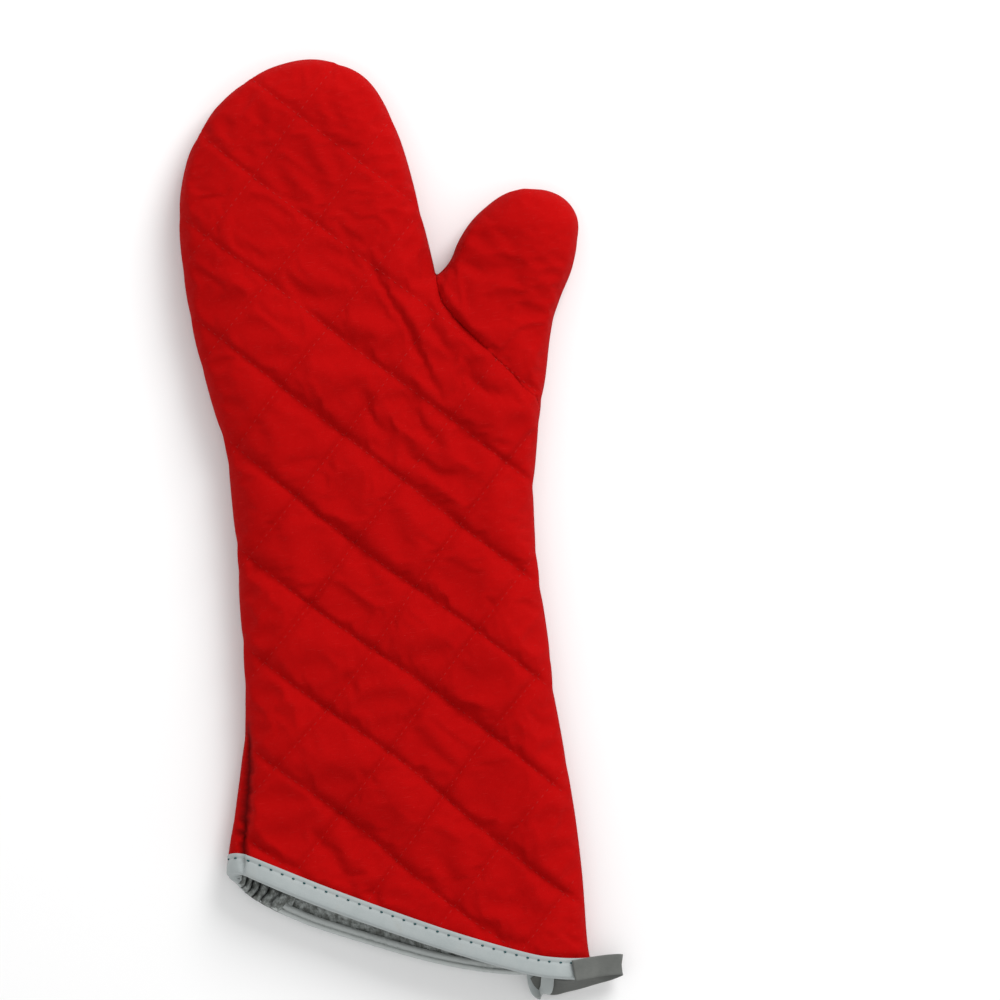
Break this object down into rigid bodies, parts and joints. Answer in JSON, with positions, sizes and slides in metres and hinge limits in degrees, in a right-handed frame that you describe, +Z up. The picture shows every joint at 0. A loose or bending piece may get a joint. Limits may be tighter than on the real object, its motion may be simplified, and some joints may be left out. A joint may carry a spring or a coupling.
{
  "type": "oven mitt",
  "caption": "Long quilted oven mitt lying flat, palm up, with a slanted bound cuff, a thumb pocket and a small hanging loop.",
  "frame": {"origin": "on the floor under the middle of the whole mitt's box, hanging loop included", "axes": "+Y along the mitt to the fingertips, +X to the thumb's side, +Z up out of the palm"},
  "size_m": [0.2146, 0.46, 0.0302],
  "materials": {
    "red_cotton": "matte plain-weave cotton, quilted",
    "wadding": "soft felted cotton wadding",
    "silver_lining": "thin cloth with a silvery heat-reflecting face",
    "grey_tape": "smooth woven tape",
    "thread": "twisted sewing thread"
  },
  "bodies": {
    "hand": {"palm_cover_hand": "red_cotton", "palm_wadding_hand": "wadding", "palm_lining_hand": "silver_lining", "back_cover_hand": "red_cotton", "back_wadding_hand": "wadding", "back_lining_hand": "silver_lining", "cuff_binding": "grey_tape", "binding_thread": "thread"},
    "fingers": {"palm_cover_fingers": "red_cotton", "palm_wadding_fingers": "wadding", "palm_lining_fingers": "silver_lining", "back_cover_fingers": "red_cotton", "back_wadding_fingers": "wadding", "back_lining_fingers": "silver_lining"},
    "thumb": {"palm_cover_thumb": "red_cotton", "palm_wadding_thumb": "wadding", "palm_lining_thumb": "silver_lining", "back_cover_thumb": "red_cotton", "back_wadding_thumb": "wadding", "back_lining_thumb": "silver_lining"},
    "loop": {"hanging_loop": "grey_tape"}
  },
  "joints": [
    {"name": "knuckle_bend", "type": "hinge", "parent": "hand", "child": "fingers", "pos_m": [-0.02948, 0.14257, 0.015], "axis": [1, 0, 0], "range_deg": [0, 50]},
    {"name": "thumb_bend", "type": "hinge", "parent": "hand", "child": "thumb", "pos_m": [0.05552, 0.08257, 0.015], "axis": [0.5234, -0.8521, 0], "range_deg": [0, 45]},
    {"name": "loop_swing", "type": "hinge", "parent": "hand", "child": "loop", "pos_m": [0.06902, -0.22448, 0.01], "axis": [0, -1, 0], "range_deg": [-60, 90]}
  ]
}
